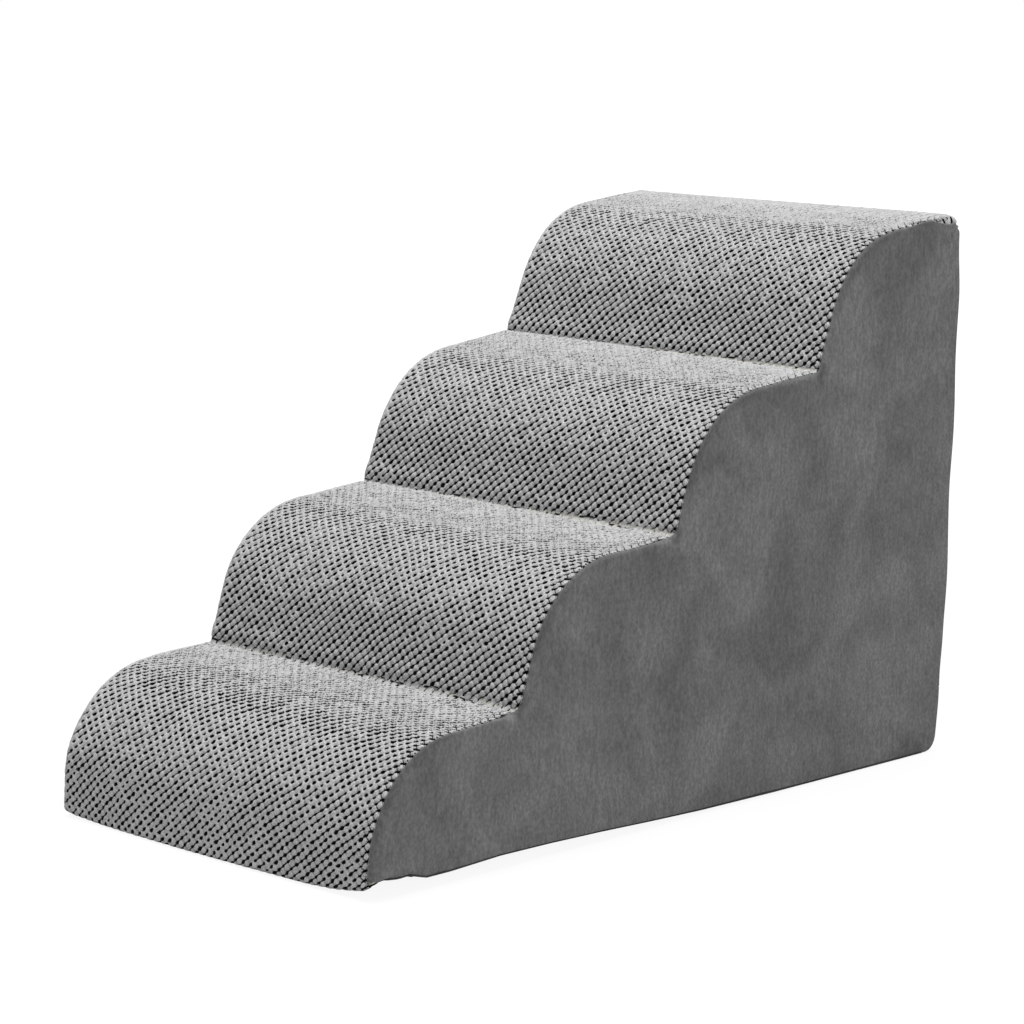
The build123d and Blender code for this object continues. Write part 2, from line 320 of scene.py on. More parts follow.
# How the soft cover and foam settle, the same for every piece of them. A pair of places is the
# start and the end of a smooth ramp.

# How high the side hems lift, by the distance from the front, and what share of it the front hem
# has, by the distance from the middle
HEM_PLACES = (0.0, 0.018, 0.030, 0.044, 0.062, 0.090, 0.150, 0.210, 0.273, 0.337, 0.404, 0.500, 0.690)
HEM_LIFTS = (
    0.0150, 0.0160, 0.0145, 0.0150, 0.0092, 0.0090, 0.0110, 0.0100, 0.0080, 0.0052, 0.0028, 0.0012, 0.0
)
LEFT_HEM_SHARE = 0.25
FRONT_HEM_PLACES = (0.119, 0.150, 0.170, 0.185, 0.192, 0.199)
FRONT_HEM_SHARES = (0.0, 0.08, 0.25, 0.42, 0.68, 1.0)
FRONT_HEM_END = (0.002, 0.020)
HEM_REACH = 0.080
HEM_HEIGHT = 0.075
TOE_BULGE = 0.0040
TOE_BULGE_HALF_WIDTH = 0.17
TOE_BULGE_HEIGHT = 0.028
TOE_BULGE_END = (0.01, 0.06)
BACK_SWELL = 0.0034
SWELL_FOOT = (0.075, 0.110)
SWELL_TOP = (0.43, 0.50)
SWELL_RIPPLE_SHARE = 0.35
SWELL_RIPPLE = 0.022
HEEL_TUCK = 0.0030
HEEL_TUCK_TOP = (0.005, 0.055)
SKIN_DEPTH = 0.030

# How far the cover stands out of the plain side view along its left and right rim, by the distance
# from the toe
RIM_PLACES = (
    0.0, 0.06, 0.10, 0.145, 0.20, 0.256, 0.34, 0.45, 0.515, 0.60, 0.69, 0.775, 0.86, 0.94, 1.0, 1.034, 1.046
)
LEFT_RIM = (1.0, 0.8, -1.6, -0.8, 1.7, -0.3, 2.2, 1.2, 2.0, -1.3, 0.0, 4.0, -1.6, 0.2, 2.0, 2.0, 0.0)
RIGHT_RIM = (0.0, 0.0, 0.0, 0.0, 0.0, -0.8, 0.0, 0.0, -0.8, 0.0, 0.3, 1.3, 0.0, 2.8, 4.4, 4.8, 0.0)
RIM_UNIT = 0.001


def rim_rise(x, places, depths):
    """How far the cover stands out of the side view, less and less below its surface."""
    to_right = smooth(-WIDTH / 2, WIDTH / 2, x)
    rim = np.interp(places, RIM_PLACES, LEFT_RIM) * (1 - to_right)
    rim += np.interp(places, RIM_PLACES, RIGHT_RIM) * to_right
    on_steps = (places < RIM_PLACES[-1]) * np.exp(-np.clip(depths, 0, None) / SKIN_DEPTH)
    return rim * RIM_UNIT * on_steps


def hem_lift(x, along, z):
    """How far the cover's lower edge lies off the floor."""
    hem = np.interp(along, HEM_PLACES, HEM_LIFTS)
    hem *= np.where(x < 0, LEFT_HEM_SHARE, 1)
    at_front = np.interp(np.abs(x), FRONT_HEM_PLACES, FRONT_HEM_SHARES)
    further_back = np.clip((np.abs(x) - (SIDE_FACE - HEM_REACH)) / HEM_REACH, 0, 1)
    near_side = at_front + (further_back - at_front) * smooth(*FRONT_HEM_END, along)
    near_floor = np.clip(1 - z / HEM_HEIGHT, 0, 1) ** 2
    return hem * near_side * near_floor


def toe_bulge(x, along, z):
    """How far the toe bulges forwards in the middle."""
    bulge = TOE_BULGE * np.clip(1 - (x / TOE_BULGE_HALF_WIDTH) ** 2, 0, 1) * np.exp(-z / TOE_BULGE_HEIGHT)
    return bulge * fade(*TOE_BULGE_END, along)


def back_shift(y, z):
    """How far the back swells out above the zip and tucks in at the heel."""
    back_line = BACK - (HEIGHT - z) * tan(BACK_LEAN)
    near_back = np.exp(-np.clip(back_line - y, 0, None) / SKIN_DEPTH)
    swell = BACK_SWELL * smooth(*SWELL_FOOT, z) * fade(*SWELL_TOP, z)
    swell = swell * (1 + SWELL_RIPPLE_SHARE * np.sin(z / SWELL_RIPPLE))
    tuck = HEEL_TUCK * fade(*HEEL_TUCK_TOP, z)
    return near_back * (swell - tuck)


def settle(points, places=None):
    """Moves points of the plain shape to where the soft stairs really lie. places are their
    distances along the side view, where they are known."""
    x, y, z = np.asarray(points, float).T
    if places is None:
        places, depths = OUTER.places_of(y, z)
    else:
        depths = np.zeros(len(x))
    _, _, normal_y, normal_z = OUTER.at(places)
    rise = rim_rise(x, places, depths)
    lift = hem_lift(x, y - FRONT, z)
    settled_y = y - toe_bulge(x, y - FRONT, z) + back_shift(y, z) + normal_y * rise
    return np.stack([x, settled_y, z + lift + normal_z * rise], 1)


# Materials

class Shading:
    """The nodes of a material or a world, with short forms for its textures and sums. Each takes
    sockets, numbers or colours of (red, green, blue), and gives a socket."""

    def __init__(self, tree):
        self.nodes, self.links = tree.nodes, tree.links

    def fill(self, node, inputs):
        """Links or sets inputs of a node, by their names or numbers."""
        for key, value in inputs.items():
            socket = node.inputs[key]
            if isinstance(value, bpy.types.NodeSocket):
                self.links.new(value, socket)
            else:
                socket.default_value = (*value, 1) if socket.type == "RGBA" else value

    def node(self, kind, inputs):
        node = self.nodes.new(kind)
        self.fill(node, inputs)
        return node

    def place(self):
        """The piece's own coordinates, which are metres."""
        return self.nodes.new("ShaderNodeTexCoord").outputs["Object"]

    def attribute(self, name):
        attribute = self.nodes.new("ShaderNodeAttribute")
        attribute.attribute_name = name
        return attribute.outputs["Fac"]

    def noise(self, scale, detail=2.0, stretch=None, slant=0.0, distortion=0.0):
        """A noise texture. scale is its blobs to the metre, and slant turns its stretch about X."""
        place = self.place()
        if stretch:
            mapping = {"Vector": place, "Rotation": (slant, 0, 0), "Scale": stretch}
            place = self.node("ShaderNodeMapping", mapping).outputs["Vector"]
        inputs = {"Vector": place, "Scale": scale, "Detail": detail, "Distortion": distortion}
        return self.node("ShaderNodeTexNoise", inputs).outputs["Fac"]

    def ramp(self, value, *stops):
        """A colour ramp with stops of (position, colour)."""
        ramp = self.node("ShaderNodeValToRGB", {"Fac": value})
        elements = ramp.color_ramp.elements
        while len(elements) < len(stops):
            elements.new(0.5)
        for element, (position, colour) in zip(elements, stops):
            element.position = position
            element.color = (*colour, 1)
        return ramp.outputs["Color"]

    def mix(self, blend, factor, first, second):
        """Two colours mixed."""
        mix = self.nodes.new("ShaderNodeMix")
        mix.data_type = "RGBA"
        mix.blend_type = blend
        self.fill(mix, {0: factor, 6: first, 7: second})
        return mix.outputs[2]

    def of(self, operation, *values):
        node = self.node("ShaderNodeMath", dict(enumerate(values)))
        node.operation = operation
        return node.outputs[0]

    def add(self, a, b):
        return self.of("ADD", a, b)

    def less(self, a, b):
        return self.of("SUBTRACT", a, b)

    def times(self, a, b):
        return self.of("MULTIPLY", a, b)

    def over(self, a, b):
        return self.of("DIVIDE", a, b)

    def most(self, first, *others):
        """The largest of some values."""
        for other in others:
            first = self.of("MAXIMUM", first, other)
        return first

    def size(self, a):
        """A value without its sign."""
        return self.of("ABSOLUTE", a)

    def offset(self, a):
        """How far a value is from its nearest whole number."""
        return self.less(a, self.of("ROUND", a))

    def blend(self, low, high, share):
        return self.add(low, self.times(self.less(high, low), share))

    def spread(self, value, start, end, low, high, kind="LINEAR"):
        """low where the value is start, and high where it is end."""
        limits = {"From Min": start, "From Max": end, "To Min": low, "To Max": high}
        node = self.node("ShaderNodeMapRange", {"Value": value, **limits})
        node.interpolation_type = kind
        return node.outputs["Result"]

    def inside(self, value, full, none):
        """1 where the value is under full, 0 over none, smooth between."""
        return self.spread(value, full, none, 1.0, 0.0, "SMOOTHSTEP")

    def surface(self, colour, height, strength, depth, values):
        """Gives the material a colour, a bump of that height, and its other values."""
        bump = self.node("ShaderNodeBump", {"Height": height, "Strength": strength, "Distance": depth})
        looks = {"Base Color": colour, "Normal": bump.outputs["Normal"], **values}
        self.fill(self.nodes["Principled BSDF"], looks)


def new_material(name):
    material = bpy.data.materials.new(name)
    material.use_nodes = True
    return material, Shading(material.node_tree)


def grey(value, warmth=0.0):
    return (value * (1 + warmth), value, value * (1 - warmth))


# The knit is counted in knobs, across and along. Its knobs are staggered, with a hole between each
# four. The material and the shape share these sizes and these values for each point.
KNOB_ACROSS = 0.00997
KNOB_ALONG = 0.0093
HOLE_HALF_ACROSS = 0.00205
HOLE_HALF_ALONG = 0.00158
EDGE_HOLE_HALF_ACROSS = 0.0028
EDGE_HOLE_HALF_ALONG = 0.0012
HOLE_SLANT = 0.25
LOOSE_GAPE = 1.15
KNIT_VALUES = ("across", "along", "edge", "gape", "slack", "tone", "clear_of_painted_shade", "wale_shade")


def knit_material():
    """Light chenille knobs. Near-black holes lie between them, partly their dark backing yarn and
    partly painted shade, and where the knit is slack, grooves with painted shade join the holes.
    The pattern follows the knit's own rows and columns."""
    material, shade = new_material("knit")
    across, along, edge, gape, slack, tone, clear_of_painted_shade, wale_shade = map(shade.attribute, KNIT_VALUES)
    du = shade.offset(shade.add(across, along))
    dv = shade.offset(shade.less(across, along))
    right = shade.times(shade.add(du, dv), KNOB_ACROSS / 2)
    up = shade.times(shade.less(du, dv), KNOB_ALONG / 2)
    up = shade.less(up, shade.times(right, HOLE_SLANT))
    wide = shade.over(right, shade.blend(HOLE_HALF_ACROSS, EDGE_HOLE_HALF_ACROSS, edge))
    high = shade.over(up, shade.blend(HOLE_HALF_ALONG, EDGE_HOLE_HALF_ALONG, edge))
    ring = shade.of("SQRT", shade.add(shade.times(wide, wide), shade.times(high, high)))
    fray = shade.less(shade.noise(scale=1500.0), 0.5)
    bend = shade.less(shade.noise(scale=330.0, detail=1.0), 0.5)
    ring = shade.add(shade.over(ring, gape), shade.add(shade.times(fray, 0.5), shade.times(bend, 0.5)))
    hole = shade.inside(ring, 0.96, 1.12)
    groove_fray = shade.times(fray, 0.10)
    groove = shade.inside(shade.add(shade.size(dv), groove_fray), 0.06, 0.13)
    cross = shade.inside(shade.add(shade.size(du), groove_fray), 0.04, 0.11)
    between_columns = shade.inside(shade.add(shade.size(shade.offset(across)), groove_fray), 0.03, 0.09)
    # Painted shade, near black: in the holes (over their dark backing yarn), the grooves, the gaps between
    # columns and between the edge beads, the folds of the inner corners and under the toe's hem
    dark = shade.most(
        hole,
        shade.times(groove, slack),
        shade.times(cross, shade.times(shade.blend(0.45, 1.0, edge), slack)),
        shade.times(between_columns, wale_shade),
        shade.inside(clear_of_painted_shade, 0.35, 0.60),
    )
    yarn = shade.ramp(tone, (0.0, grey(0.605)), (1.0, grey(0.690)))
    taut = shade.inside(gape, LOOSE_GAPE, 1.45)
    # A painted highlight: a lighter ring round each hole where the knit is taut, the loops' rims catching the
    # light
    hole_rim_highlight = shade.times(shade.inside(ring, 1.25, 1.75), shade.times(taut, 0.5))
    yarn = shade.mix("MIX", hole_rim_highlight, yarn, grey(0.80))
    fibres = shade.noise(scale=900.0, detail=3.0)
    fluff = shade.ramp(fibres, (0.30, grey(0.70)), (0.70, grey(1.0)))
    yarn = shade.mix("MULTIPLY", 1.0, yarn, fluff)
    curls = shade.noise(scale=520.0, detail=1.0, distortion=2.0)
    # Painted highlights and shade on the yarn's curls, strongest where the knit is taut; the curls also make
    # the bump
    curl_light_and_shade = shade.ramp(curls, (0.36, grey(0.64)), (0.48, grey(1.03)), (0.66, grey(1.18)))
    yarn = shade.mix("MULTIPLY", shade.blend(0.25, 0.9, taut), yarn, curl_light_and_shade)
    colour = shade.mix("MIX", dark, yarn, grey(0.004))
    dome = shade.less(shade.add(shade.times(fibres, 0.5), shade.times(curls, 0.5)), dark)
    shade.surface(colour, dome, 0.6, 0.0008, {
        "Roughness": 0.95, "Specular IOR Level": 0.08, "Sheen Weight": 0.03, "Sheen Roughness": 0.6
    })
    return material


STITCH_LENGTH = 0.0032
STITCH_OFF_ZIP = 0.0092
STITCH_HALF_WIDTH = 0.0004
STITCH_EDGE_SHARE = 0.6
STITCHES_END = 0.001
BACK_FACE_DEPTHS = (0.032, 0.034)


def zip_stitches(shade):
    """1 on the two rows of stitches that hold the zip's tapes to the back, else 0."""
    x, y, z = shade.node("ShaderNodeSeparateXYZ", {"Vector": shade.place()}).outputs
    off_row = shade.size(shade.less(shade.size(shade.less(z, ZIP_HEIGHT)), STITCH_OFF_ZIP))
    row = shade.inside(off_row, STITCH_HALF_WIDTH * STITCH_EDGE_SHARE, STITCH_HALF_WIDTH)
    dash = shade.inside(shade.size(shade.offset(shade.over(x, STITCH_LENGTH))), 0.30, 0.38)
    beside_zip = shade.inside(shade.size(x), ZIP_OPENING / 2 - STITCHES_END, ZIP_OPENING / 2)
    on_back = shade.inside(y, *(BACK - depth for depth in BACK_FACE_DEPTHS))
    return shade.times(shade.times(row, dash), shade.times(beside_zip, on_back))


def plush_material():
    """Short pile, brushed this way and that, in soft blotches and fine upright streaks."""
    material, shade = new_material("plush")
    blotches = shade.noise(scale=11.0, detail=6.0, distortion=0.8)
    base = shade.ramp(blotches, (0.34, grey(0.172)), (0.66, grey(0.262)))
    tufts = shade.noise(scale=420.0, detail=5.0, stretch=(1.0, 1.0, 0.75))
    tuft_tone = shade.ramp(tufts, (0.36, grey(0.70)), (0.64, grey(1.0)))
    brushed_back = shade.noise(scale=260.0, detail=4.0, stretch=(1.0, 1.0, 0.30), slant=radians(28))
    brushed_on = shade.noise(scale=230.0, detail=4.0, stretch=(1.0, 1.0, 0.30), slant=radians(-22))
    which = shade.ramp(shade.noise(scale=14.0), (0.42, grey(0.0)), (0.58, grey(1.0)))
    brushed = shade.mix("MIX", which, brushed_back, brushed_on)
    brush_tone = shade.ramp(brushed, (0.36, grey(0.78)), (0.64, grey(1.0)))
    colour = shade.mix("MULTIPLY", 1.0, base, tuft_tone)
    colour = shade.mix("MULTIPLY", 1.0, colour, brush_tone)
    colour = shade.mix("MIX", zip_stitches(shade), colour, grey(0.045))
    # Painted shade along the seam with the knit and in the pinched folds below the inner corners
    colour = shade.mix("MULTIPLY", shade.attribute("shaded_crease"), colour, grey(0.60))
    shade.surface(colour, tufts, 0.5, 0.0007, {
        "Roughness": 0.95, "Specular IOR Level": 0.2, "Sheen Weight": 0.20, "Sheen Roughness": 0.5
    })
    return material


def base_material():
    material, shade = new_material("base_fabric")
    weave = shade.noise(scale=1400.0, detail=1.0)
    colour = shade.ramp(weave, (0.3, grey(0.016)), (0.7, grey(0.030)))
    shade.surface(colour, weave, 0.4, 0.0004, {"Roughness": 0.85})
    return material


def foam_material():
    material, shade = new_material("foam")
    texture = shade.node("ShaderNodeTexVoronoi", {"Vector": shade.place(), "Scale": 900.0})
    pores = texture.outputs["Distance"]
    colour = shade.ramp(pores, (0.0, (0.52, 0.50, 0.42)), (0.6, (0.80, 0.78, 0.70)))
    shade.surface(colour, pores, 0.6, 0.0006, {"Roughness": 0.95})
    return material


def tape_material(name, colour, scale=1600.0):
    """A woven or brushed nylon tape."""
    material, shade = new_material(name)
    weave = shade.noise(scale, detail=1.0, stretch=(1.0, 0.35, 0.35))
    dark = tuple(0.7 * part for part in colour)
    shade.surface(shade.ramp(weave, (0.3, dark), (0.7, colour)), weave, 0.5, 0.0003, {"Roughness": 0.8})
    return material


def plastic_material():
    material, shade = new_material("zip_chain")
    spots = shade.noise(scale=500.0)
    colour = shade.ramp(spots, (0.3, grey(0.050)), (0.7, grey(0.075)))
    shade.surface(colour, spots, 0.15, 0.0002, {"Roughness": 0.42})
    return material


def metal_material():
    material, shade = new_material("zip_metal")
    wear = shade.noise(scale=700.0, detail=4.0)
    shade.fill(shade.nodes["Principled BSDF"], {
        "Base Color": shade.ramp(wear, (0.3, grey(0.34, 0.03)), (0.7, grey(0.46, 0.03))),
        "Roughness": shade.spread(wear, 0.0, 1.0, 0.28, 0.42),
        "Metallic": 1.0,
    })
    return material


MATERIALS = {
    "knit": knit_material(),
    "plush": plush_material(),
    "base_fabric": base_material(),
    "foam": foam_material(),
    "hook": tape_material("hook", grey(0.045)),
    "loop": tape_material("loop", grey(0.070), 1100.0),
    "zip_tape": tape_material("zip_tape", grey(0.090)),
    "zip_chain": plastic_material(),
    "zip_metal": metal_material(),
}


def cover_piece(name, points, faces, slot, node, places=None):
    """A settled piece of the cover, in place of a CAD node."""
    piece = make_object(name, settle(points, places), faces, MATERIALS[slot])
    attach(piece, "stairs")
    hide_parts(node)
    return piece


# Knit tread panel: one strip from under the toe to the top rear edge. q is metres across from the
# middle, and s is metres along the outline.

KNIT_START = OUTER.nearest(BASE_FRONT, FLOOR_GAP) - OUTER.total
KNIT_END = OUTER.nearest(BACK - TOP_WRAP * tan(BACK_LEAN), HEIGHT - TOP_WRAP)
NOTCHES = [OUTER.nearest(*OUTER.corners[2 * step + 2]) for step in range(STEP_COUNT - 1)]
STEP_PATH = 0.258
ACROSS_SHARES = (0.0, 0.11, 0.20, 0.30, 0.39)
ALONG_SHARES = (0.0, 0.08, 0.17, 0.33, 0.42)
LEFT_SEAM = 0.1995
LEFT_CURL_RADIUS = 0.003
CURL_TURN = radians(125)
SHOULDER_ARC_SHARE = 1.2
CHANCES_SEED = 11
CHANCES_SIZE = 64


def knob_places(count, shares):
    """Places over a count of knobs, closer together round the holes' rims."""
    halves = np.arange(2 * count)[:, None] / 2 + np.array(shares)
    return np.append(halves.ravel(), count)


def dealt(chances, u, v):
    """The chance that a table holds for each place of the lattice."""
    return chances[u.astype(int) % CHANCES_SIZE, v.astype(int) % CHANCES_SIZE]


# Where each step's columns drift sideways, by the way up the step, and how far its rows drop
DRIFT_SHARES = (0.0, 0.14, 0.30, 0.43, 0.58, 0.80, 1.0)
COLUMN_DRIFTS = (0.0, -0.0006, 0.0015, 0.0005, -0.0021, -0.0008, 0.0)
DRIFT_WOBBLES = ((0.0010, 0.05, 21), (0.0007, 0.009, 23))
TOE_DRIFT = 0.0085
TOE_DRIFT_END = (-0.03, 0.09)
BOW_DROPS = (0.0085, 0.0105, 0.0070, 0.0040)
BOW_PHASE = 0.3
BOW_START = 0.015
BOW_WIDTH = 0.17
BOW_POWER = 1.15
LEFT_RISE = 0.003
LEFT_RISE_START = (-0.15, -0.02)
LEFT_RISE_END = (0.30, 0.55)
ROW_WOBBLES = ((0.0010, 0.06, 22), (0.0006, 0.009, 24))
STRAIGHT_START = 0.02
STRAIGHT_END = 0.03


def warped(q, s, reach):
    """The knit's rows and columns as they were stretched over the steps, which isn't straight."""
    inside = 1 - (np.abs(q) / reach) ** 6
    phase = np.clip(s / STEP_PATH, 0, STEP_COUNT - 0.001)
    drift = np.interp(phase % 1, DRIFT_SHARES, COLUMN_DRIFTS) - TOE_DRIFT * fade(*TOE_DRIFT_END, s)
    for wobble in DRIFT_WOBBLES:
        drift = drift + wave(q, s, *wobble)
    drop = np.interp(phase, np.arange(STEP_COUNT) + BOW_PHASE, BOW_DROPS)
    bow = -drop * np.clip((q - BOW_START) / BOW_WIDTH, 0, 1.0) ** BOW_POWER
    bow = bow + LEFT_RISE * smooth(*LEFT_RISE_START, q) * fade(*LEFT_RISE_END, s)
    shift = sum(wave(q, s, *wobble) for wobble in ROW_WOBBLES)
    ends = smooth(KNIT_START, KNIT_START + STRAIGHT_START, s)
    ends = ends * fade(KNIT_END - STRAIGHT_END, KNIT_END, s)
    return q + inside * drift, s + ends * (bow + shift)


# How wide the holes gape, by the way up the step, and how they close at the top rear edge
GAPE_SHARES = (0.0, 0.02, 0.35, 0.50, 0.60, 0.75, 0.88, 1.0)
GAPES = (1.30, 1.10, 1.03, 1.18, 1.45, 1.55, 1.35, 1.25)
GAPE_LEAST = 0.78
GAPE_CHANCE = 0.40
GAPE_REAR = (0.99, 1.02)
GAPE_REAR_LOSS = 0.5
GAPE_EDGE = (-0.0005, 0.0010)
GAPE_PAST_EDGE = 0.02

# What share of the holes is joined by grooves: everywhere, and what low risers add
JOINED = 0.12
JOINED_LOW = 0.20
JOINED_LOW_ABOVE_FIRST = 0.28
JOINED_PATCHES = 0.60
JOINED_BLUR = 0.12
PATCH_SIZE = 0.028
ABOVE_FIRST = (STEP_PATH - 0.01, STEP_PATH)
LOW_RISER = (0.020, 0.125)
RISER_START = (-0.002, 0.002)
EDGE_SLACK = 0.9
SLACK_EDGE = (-0.002, 0.000)
SLACK_REAR = (1.00, 1.03)
SLACK_REAR_LOSS = 0.8


def hole_gape(s, to_edge, chance):
    """How wide each hole is, against its plain size."""
    gape = (GAPE_LEAST + GAPE_CHANCE * chance) * np.interp(s / STEP_PATH % 1, GAPE_SHARES, GAPES)
    gape *= 1 - GAPE_REAR_LOSS * smooth(*GAPE_REAR, s)
    gape *= GAPE_PAST_EDGE + (1 - GAPE_PAST_EDGE) * smooth(*GAPE_EDGE, to_edge)
    return gape


def slackness(q, s, edge, to_edge, chance):
    """How slack the knit lies: most above the inner corners and along the seams, not on the noses.
    chance is 0 to 1 for each stretch between two holes."""
    above = s - np.array([0.0] + NOTCHES)[np.searchsorted(NOTCHES, s)]
    low_riser = fade(*LOW_RISER, above) * smooth(*RISER_START, above)
    patches = 0.5 + 0.5 * noise(q, s, PATCH_SIZE, 25)
    more = JOINED_LOW + JOINED_LOW_ABOVE_FIRST * smooth(*ABOVE_FIRST, s) + JOINED_PATCHES * patches
    slack = smooth(-JOINED_BLUR, JOINED_BLUR, JOINED + low_riser * more - chance)
    slack = np.maximum(slack, EDGE_SLACK * edge)
    slack *= smooth(*SLACK_EDGE, to_edge) * (1 - SLACK_REAR_LOSS * smooth(*SLACK_REAR, s))
    return slack


HOLE_DEPTH = 0.0019
HOLE_WALL = (0.75, 1.25)
GROOVE_DEPTH = 0.0010
GROOVE_WALL = (0.0, 0.20)
CROSS_SHARE = 0.25
PILLOW_DEPTH = 0.0008
PILLOW_SHARE = 0.25
LOOSE_SPAN = 0.35


def knit_height(across, along, edge, gape, slack):
    """How far the knit stands above its plain face: 0 on the knobs, and less in holes and grooves."""
    u, v = across + along, across - along
    du, dv = u - np.rint(u), v - np.rint(v)
    right = (du + dv) * KNOB_ACROSS / 2
    up = (du - dv) * KNOB_ALONG / 2 - right * HOLE_SLANT
    wide = right / (HOLE_HALF_ACROSS + (EDGE_HOLE_HALF_ACROSS - HOLE_HALF_ACROSS) * edge)
    high = up / (HOLE_HALF_ALONG + (EDGE_HOLE_HALF_ALONG - HOLE_HALF_ALONG) * edge)
    hole = fade(*HOLE_WALL, np.hypot(wide, high) / gape)
    groove = fade(*GROOVE_WALL, np.abs(dv)) * slack
    cross = fade(*GROOVE_WALL, np.abs(du)) * slack * (CROSS_SHARE + (1 - CROSS_SHARE) * edge)
    dome = 1 - ((1 - 2 * np.abs(du)) ** 3 + (1 - 2 * np.abs(dv)) ** 3) / 2
    loose = np.clip((gape - LOOSE_GAPE) / LOOSE_SPAN, 0, 1)
    pillow = PILLOW_DEPTH * (PILLOW_SHARE + (1 - PILLOW_SHARE) * np.maximum(slack, loose)) * (1 - dome)
    return -np.maximum(HOLE_DEPTH * hole, GROOVE_DEPTH * np.maximum(groove, cross)) - pillow


FOLD_RISE = 0.0012
FOLD_RISE_ABOVE = 0.011
FOLD_RISE_HALF = 0.010
FOLD_DIP = 0.0010
FOLD_DIP_HALF = 0.006
FOLD_WAVE = 0.03


def fold(s, x):
    """How the knit dips into each inner corner and bulges above it."""
    share = 0.7 + 0.5 * noise(x, x * 0, FOLD_WAVE, 27)
    shape = 0
    for notch in NOTCHES:
        rise = FOLD_RISE * share * hump(notch + FOLD_RISE_ABOVE, FOLD_RISE_HALF, s)
        shape = shape + rise - FOLD_DIP * hump(notch, FOLD_DIP_HALF, s)
    return shape


# Painted shade under the toe's turned-under hem and in dashes along the fold of each inner corner
HEM_SHADE_TOP = (0.0008, 0.0024)
HEM_SHADE_LEFT = (-0.192, -0.184)
CREASE_ABOVE = 0.0015
CREASE_WAVE = (0.0020, 0.011, 29)
CREASE_HALF = 0.0024
CREASE_SHADE = 0.75
DASH_SIZE = 0.005
# Painted shade between the knit's columns on the treads
WALE_SHADE = 0.7
WALE_START = (0.62, 0.80)
WALE_SIZE = 0.02


def shaded(clear_of_painted_shade, q, s):
    """Adds painted shade: a shadow under the hem that turns under at the toe, and dark dashes
    along the fold in each inner corner.
    """
    hem_shadow = fade(*HEM_SHADE_TOP, s) * smooth(*HEM_SHADE_LEFT, q)
    clear_of_painted_shade = np.minimum(clear_of_painted_shade, 1 - hem_shadow)
    dashes = smooth(0.0, 0.35, noise(q, s * 0, DASH_SIZE, 28))
    for notch in NOTCHES:
        crease_line = notch + CREASE_ABOVE + wave(q, s * 0, *CREASE_WAVE)
        clear_of_painted_shade = np.minimum(clear_of_painted_shade, 1 - CREASE_SHADE * dashes * hump(crease_line, CREASE_HALF, s))
    return clear_of_painted_shade


def wale_shade_lines(q, s):
    """How much painted shade lies between the knit's columns, which shows on the treads."""
    return WALE_SHADE * smooth(*WALE_START, s / STEP_PATH % 1) * smooth(-0.3, 0.4, noise(q, s, WALE_SIZE, 30))


BEAD_GAP = 0.0016
BEAD_DEPTH = 0.0008
BEAD_NOTCH = (0.06, 0.30)
BEAD_SIDES = (0.10, 0.22)
BEAD_COLUMN = (0.0030, 0.0050)
EDGE_REACH = (0.004, 0.016)
KNOB_UNEVENNESS = 0.0004
KNOB_CORE = 0.3
FLAT_TOE = (-0.001, 0.008)


def knit_panel():
    """The strip as a grid of points. It curls over the left rim, and ends in beads at the right."""
    knobs_across = round(2 * (LEFT_SEAM + LEFT_CURL_RADIUS * (CURL_TURN - 1)) / KNOB_ACROSS)
    knobs_along = round((KNIT_END - KNIT_START) / KNOB_ALONG)
    along, across = np.meshgrid(
        knob_places(knobs_along, ALONG_SHARES), knob_places(knobs_across, ACROSS_SHARES), indexing="ij"
    )
    s = KNIT_START + (KNIT_END - KNIT_START) * along / knobs_along
    side = 2 * across / knobs_across - 1
    right = side > 0
    radius = np.where(right, shoulder(s), LEFT_CURL_RADIUS)
    past_flat = np.where(right, SHOULDER_ARC_SHARE * (radius - SHOULDER_RADII[0]), 0)
    flat_half = np.where(right, SIDE_FACE - seam_inset(s), LEFT_SEAM) - radius
    reach = flat_half + radius * CURL_TURN
    q, s = warped(side * reach, s, reach)
    beside_bead = np.abs(along % 1 - 0.5)
    in_column = fade(*BEAD_COLUMN, flat_half + past_flat - np.abs(q)) * right
    # The gaps between the edge beads sink, and the material paints shade in them
    clear_of_painted_shade = 1 - fade(*BEAD_SIDES, beside_bead) * in_column
    flat_half = flat_half - BEAD_GAP * fade(*BEAD_NOTCH, beside_bead) * right
    to_edge = flat_half - np.abs(q) + past_flat
    edge = fade(*EDGE_REACH, to_edge) * right
    chances = np.random.default_rng(CHANCES_SEED).uniform(0, 1, (4, CHANCES_SIZE, CHANCES_SIZE))
    u, v = across + along, across - along
    slack = slackness(q, s, edge, to_edge, dealt(chances[3], np.floor(u), np.rint(v)))
    gape = hole_gape(s, to_edge, dealt(chances[0], np.rint(u), np.rint(v)))
    height = knit_height(across, along, edge, gape, slack)
    on_knob = (np.abs((u % 1) - 0.5) < KNOB_CORE) * (np.abs((v % 1) - 0.5) < KNOB_CORE)
    height += KNOB_UNEVENNESS * (dealt(chances[1], np.floor(u), np.floor(v)) - 0.5) * on_knob
    height -= BEAD_DEPTH * (1 - clear_of_painted_shade)
    height *= smooth(*FLAT_TOE, s)
    points = bent_over(q, s, flat_half, radius, height).reshape(-1, 3)
    faces = grid_faces(*across.shape)[:, ::-1]
    piece = cover_piece("knit_tread_panel", points, faces, "knit", "tread_panel", s.ravel())
    tone = dealt(chances[2], np.floor(u), np.floor(v))
    values = (across, along, edge, gape, slack, tone, shaded(clear_of_painted_shade, q, s), wale_shade_lines(q, s))
    for name, value in zip(KNIT_VALUES, values):
        add_values(piece, name, value)


